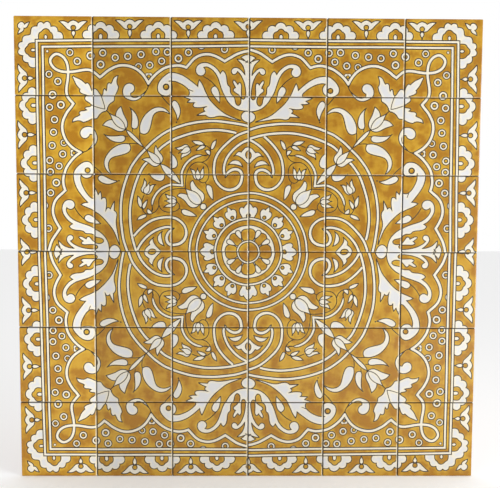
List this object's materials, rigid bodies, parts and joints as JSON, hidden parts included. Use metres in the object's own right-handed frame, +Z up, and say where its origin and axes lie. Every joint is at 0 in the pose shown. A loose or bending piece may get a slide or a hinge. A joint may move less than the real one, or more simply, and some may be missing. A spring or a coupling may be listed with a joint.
{
  "type": "tile panel",
  "caption": "Square wall panel of glazed ceramic tiles laid edge to edge, painted in ochre and white with a round interlaced medallion, leaf scrolls and a flowered border.",
  "frame": {"origin": "centre of the panel on the plane of the tiles' backs, which is the face of the wall", "axes": "+Z up, painted face towards -Y, +X to the right as seen from the painted side"},
  "size_m": [0.842, 0.008, 0.842],
  "materials": {
    "painted_glaze": "glossy hand-painted glaze: ochre ground, white ornament and thin dark outlines, on a buff clay body"
  },
  "bodies": {
    "root": {"tile_r1_c1": "painted_glaze", "tile_r1_c2": "painted_glaze", "tile_r1_c3": "painted_glaze", "tile_r1_c4": "painted_glaze", "tile_r1_c5": "painted_glaze", "tile_r1_c6": "painted_glaze", "tile_r2_c1": "painted_glaze", "tile_r2_c2": "painted_glaze", "tile_r2_c3": "painted_glaze", "tile_r2_c4": "painted_glaze", "tile_r2_c5": "painted_glaze", "tile_r2_c6": "painted_glaze", "tile_r3_c1": "painted_glaze", "tile_r3_c2": "painted_glaze", "tile_r3_c3": "painted_glaze", "tile_r3_c4": "painted_glaze", "tile_r3_c5": "painted_glaze", "tile_r3_c6": "painted_glaze", "tile_r4_c1": "painted_glaze", "tile_r4_c2": "painted_glaze", "tile_r4_c3": "painted_glaze", "tile_r4_c4": "painted_glaze", "tile_r4_c5": "painted_glaze", "tile_r4_c6": "painted_glaze", "tile_r5_c1": "painted_glaze", "tile_r5_c2": "painted_glaze", "tile_r5_c3": "painted_glaze", "tile_r5_c4": "painted_glaze", "tile_r5_c5": "painted_glaze", "tile_r5_c6": "painted_glaze", "tile_r6_c1": "painted_glaze", "tile_r6_c2": "painted_glaze", "tile_r6_c3": "painted_glaze", "tile_r6_c4": "painted_glaze", "tile_r6_c5": "painted_glaze", "tile_r6_c6": "painted_glaze"}
  },
  "joints": []
}
